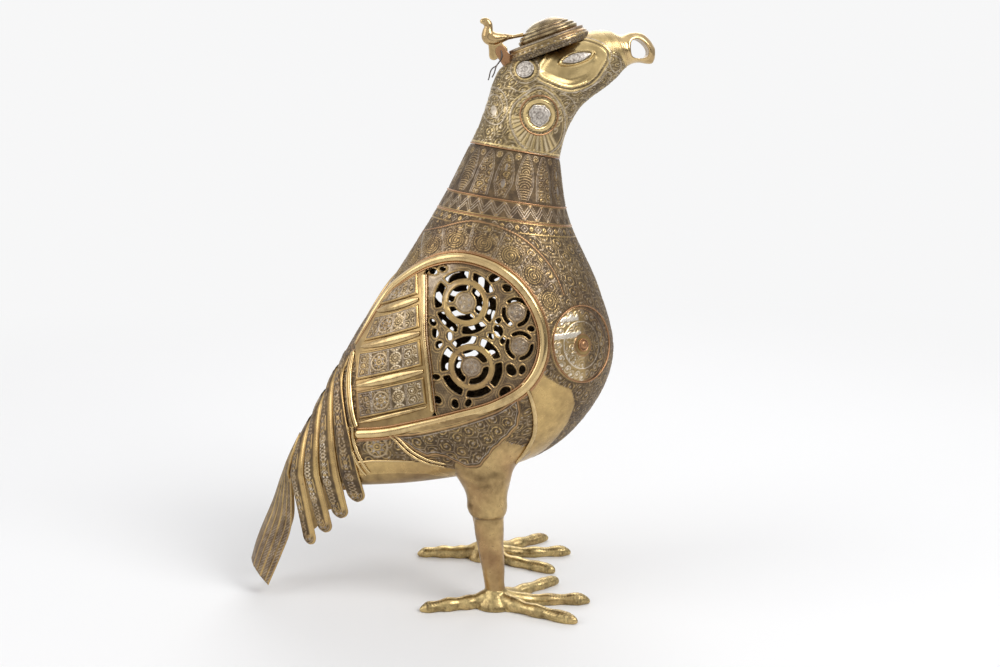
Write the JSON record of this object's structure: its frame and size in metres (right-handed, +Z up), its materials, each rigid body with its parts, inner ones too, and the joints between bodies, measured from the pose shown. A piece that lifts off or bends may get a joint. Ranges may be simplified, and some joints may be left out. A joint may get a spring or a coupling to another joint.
{
  "type": "pierced brass bird vessel",
  "caption": "Hollow standing bird in inlaid brass with pierced wing screens, a looped beak, spread feet and a domed lid hinged on the crown.",
  "frame": {"origin": "on the ground, under the middle of the bird's length and on its middle plane", "axes": "+Z up, +X from the tail to the beak, -Y to the bird's right side"},
  "size_m": [0.32, 0.195, 0.4494],
  "materials": {
    "patinated_brass": "engraved brass with a dark grey-brown patina in the ground and worn gold on the raised lines",
    "polished_brass": "smooth satin brass, slightly worn",
    "copper": "reddish copper, satin, darkened in the recesses",
    "silver": "dull silver-grey inlay",
    "wire": "dark binding wire"
  },
  "bodies": {
    "figure": {"body_shell": "patinated_brass", "head_shell": "patinated_brass", "wing_screen_right": "patinated_brass", "wing_screen_left": "patinated_brass", "wing_covert_1_right": "patinated_brass", "wing_covert_1_left": "patinated_brass", "wing_covert_2_right": "patinated_brass", "wing_covert_2_left": "patinated_brass", "wing_covert_3_right": "patinated_brass", "wing_covert_3_left": "patinated_brass", "wing_covert_4_right": "patinated_brass", "wing_covert_4_left": "patinated_brass", "tail_feather_1_right": "patinated_brass", "tail_feather_1_left": "patinated_brass", "tail_feather_2_right": "patinated_brass", "tail_feather_2_left": "patinated_brass", "tail_feather_3_right": "patinated_brass", "tail_feather_3_left": "patinated_brass", "tail_feather_4_right": "patinated_brass", "tail_feather_4_left": "patinated_brass", "tail_plate": "patinated_brass", "neck_sleeve": "polished_brass", "beak": "polished_brass", "wing_frame_right": "polished_brass", "wing_frame_left": "polished_brass", "wing_bar_right": "polished_brass", "wing_bar_left": "polished_brass", "wing_rear_rib_right": "polished_brass", "wing_rear_rib_left": "polished_brass", "leg_right": "polished_brass", "leg_left": "polished_brass", "foot_right": "polished_brass", "foot_left": "polished_brass", "breast_boss_right": "polished_brass", "breast_boss_left": "polished_brass", "copper_ring_seam": "copper", "copper_ring_band_upper": "copper", "copper_ring_band_lower": "copper", "crown_collar": "copper", "hinge_ear_right": "copper", "hinge_ear_left": "copper", "eye_inlay_right": "silver", "eye_inlay_left": "silver", "ear_roundel_right": "silver", "ear_roundel_left": "silver", "neck_disc_right": "silver", "neck_disc_left": "silver", "breast_rim_right": "copper", "breast_rim_left": "copper", "neck_rim_right": "copper", "neck_rim_left": "copper", "hinge_wire": "wire"},
    "lid": {"lid_dome": "polished_brass", "lid_skirt": "polished_brass", "lid_tab": "polished_brass", "finial_bird": "polished_brass"}
  },
  "joints": [
    {"name": "lid_hinge", "type": "hinge", "parent": "figure", "child": "lid", "pos_m": [0.0406, 0, 0.4238], "axis": [0, -1, 0], "range_deg": [0, 70]}
  ]
}
